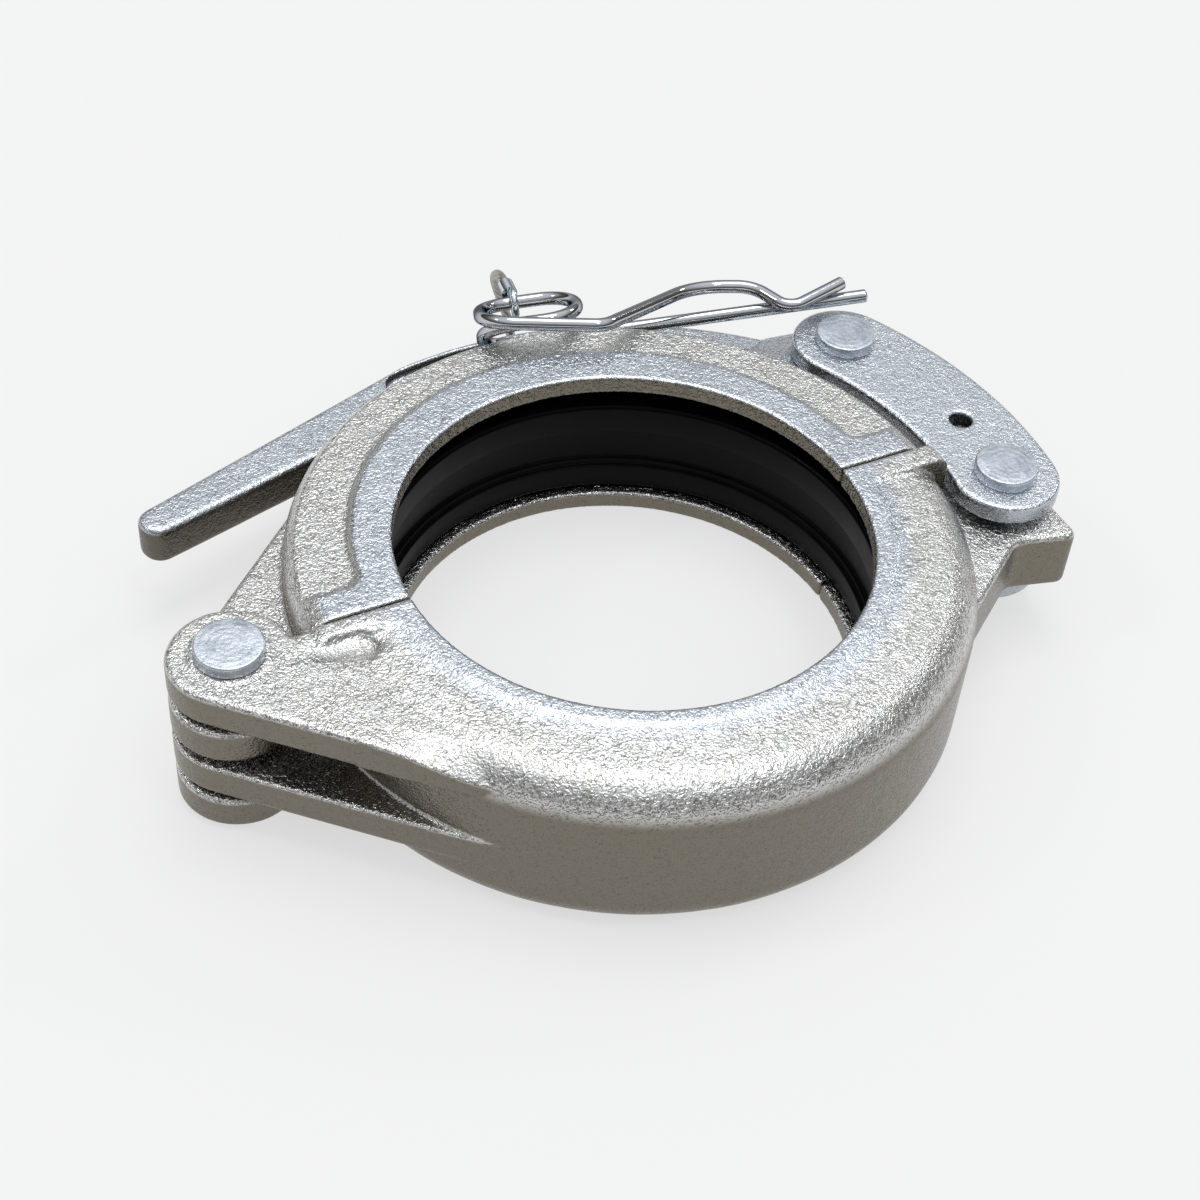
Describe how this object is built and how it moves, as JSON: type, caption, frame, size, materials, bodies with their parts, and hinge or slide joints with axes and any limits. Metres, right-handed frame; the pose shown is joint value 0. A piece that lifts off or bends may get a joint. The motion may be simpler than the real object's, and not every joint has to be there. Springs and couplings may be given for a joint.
{
  "type": "lever pipe clamp",
  "caption": "Two-piece forged lever clamp for flanged concrete delivery pipe, with hinged halves, toggle link, lever, rubber gasket and wire safety clip.",
  "frame": {"origin": "centre of the bore at mid height", "axes": "+Z along the pipe axis, +X along the split line from the hinge to the latch, +Y towards the rear half"},
  "size_m": [0.2714, 0.2427, 0.0622],
  "materials": {
    "forged_steel": "galvanised forging, coarse skin",
    "plate_steel": "zinc plated, fine grain",
    "lever_steel": "zinc plated forging, fine grain",
    "pin_steel": "zinc plated",
    "spring_wire": "bright zinc",
    "rope_steel": "stranded wire",
    "gasket_rubber": "moulded rubber, satin"
  },
  "bodies": {
    "root": {"front_half": "forged_steel", "gasket": "gasket_rubber", "hinge_pin": "pin_steel"},
    "rear": {"rear_half": "forged_steel"},
    "link": {"upper_link_plate": "plate_steel", "lower_link_plate": "plate_steel", "ear_pin": "pin_steel", "lever_pin": "pin_steel"},
    "lever": {"lever": "lever_steel", "lanyard_stud": "rope_steel", "lanyard_rope": "rope_steel"},
    "clip": {"safety_clip": "spring_wire", "lanyard_loop": "rope_steel", "lanyard_sleeve": "rope_steel"}
  },
  "joints": [
    {"name": "rear_hinge", "type": "hinge", "parent": "root", "child": "rear", "pos_m": [-0.1184, 0, 0], "axis": [0, 0, 1], "range_deg": [0, 4]},
    {"name": "link_swing", "type": "hinge", "parent": "root", "child": "link", "pos_m": [0.118, -0.0131, 0], "axis": [0, 0, -1], "range_deg": [0, 45.9]},
    {"name": "lever_swing", "type": "hinge", "parent": "link", "child": "lever", "pos_m": [0.1063, 0.0601, 0], "axis": [0, 0, -1], "range_deg": [0, 124.1]},
    {"name": "clip_lift", "type": "slide", "parent": "lever", "child": "clip", "axis": [0, 0, 1], "range_m": [0, 0.015]}
  ],
  "couplings": [
    {"joint": "link_swing", "follows": "lever_swing", "ratio": 0.36986},
    {"joint": "rear_hinge", "follows": "lever_swing", "ratio": 0.032232}
  ]
}
